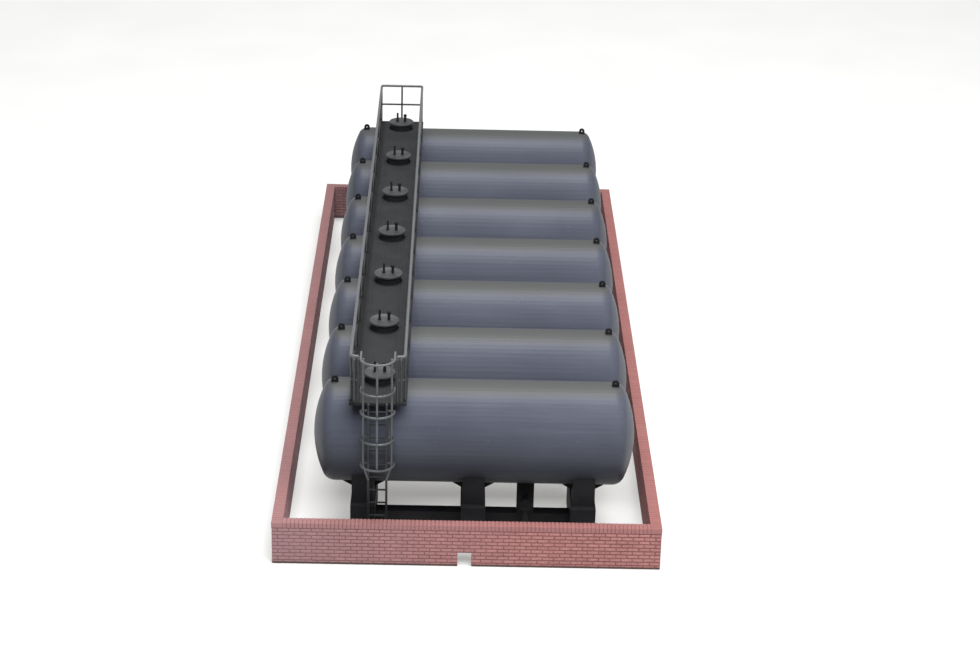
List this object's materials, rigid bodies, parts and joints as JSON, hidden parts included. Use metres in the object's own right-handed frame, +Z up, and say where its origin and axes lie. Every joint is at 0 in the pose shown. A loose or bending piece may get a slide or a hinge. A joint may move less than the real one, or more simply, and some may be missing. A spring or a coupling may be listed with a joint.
{
  "type": "model railway oil storage depot",
  "caption": "Row of horizontal cylindrical storage tanks on saddles inside a loose brick bund, with a railed walkway and a caged ladder, for a model railway.",
  "frame": {"origin": "on the table, at the middle of the bund's footprint", "axes": "+X along the tanks, +Y along the row away from the ladder, +Z up"},
  "size_m": [0.1022, 0.2576, 0.0557],
  "materials": {
    "tank_grey": "satin blue-grey print with fine layer lines",
    "black_plastic": "matt black print",
    "rail_grey": "matt dark grey print with lighter edges",
    "brick": "red brick relief, stretcher bond, grey joints",
    "coping_brick": "red brick on edge, grey joints"
  },
  "bodies": {
    "tank_bank": {"back_guard_rail": "rail_grey", "cage_hoop_1": "rail_grey", "cage_hoop_2": "rail_grey", "cage_hoop_3": "rail_grey", "cage_hoop_4": "rail_grey", "cage_hoop_5": "rail_grey", "cage_straps": "rail_grey", "drain_pipes": "black_plastic", "end_rail_left": "rail_grey", "end_rail_right": "rail_grey", "handrail_left": "rail_grey", "handrail_right": "rail_grey", "ladder_rungs": "rail_grey", "ladder_stringers": "rail_grey", "lifting_lugs": "black_plastic", "manhole_lid_1": "rail_grey", "manhole_lid_2": "rail_grey", "manhole_lid_3": "rail_grey", "manhole_lid_4": "rail_grey", "manhole_lid_5": "rail_grey", "manhole_lid_6": "rail_grey", "manhole_lid_7": "rail_grey", "manhole_neck_1": "black_plastic", "manhole_neck_2": "black_plastic", "manhole_neck_3": "black_plastic", "manhole_neck_4": "black_plastic", "manhole_neck_5": "black_plastic", "manhole_neck_6": "black_plastic", "manhole_neck_7": "black_plastic", "outlet_boxes": "black_plastic", "saddles_1": "black_plastic", "saddles_2": "black_plastic", "saddles_3": "black_plastic", "saddles_4": "black_plastic", "saddles_5": "black_plastic", "saddles_6": "black_plastic", "saddles_7": "black_plastic", "tank_1": "tank_grey", "tank_2": "tank_grey", "tank_3": "tank_grey", "tank_4": "tank_grey", "tank_5": "tank_grey", "tank_6": "tank_grey", "tank_7": "tank_grey", "tie_beams": "black_plastic", "walkway_deck": "black_plastic"},
    "brick_bund": {"bund_coping_back": "coping_brick", "bund_coping_front": "coping_brick", "bund_coping_left": "coping_brick", "bund_coping_right": "coping_brick", "bund_wall_back": "brick", "bund_wall_front": "brick", "bund_wall_left": "brick", "bund_wall_right": "brick"}
  },
  "joints": [
    {"name": "bund_lift", "type": "slide", "parent": "tank_bank", "child": "brick_bund", "axis": [0, 0, 1], "range_m": [0, 0.06]}
  ]
}
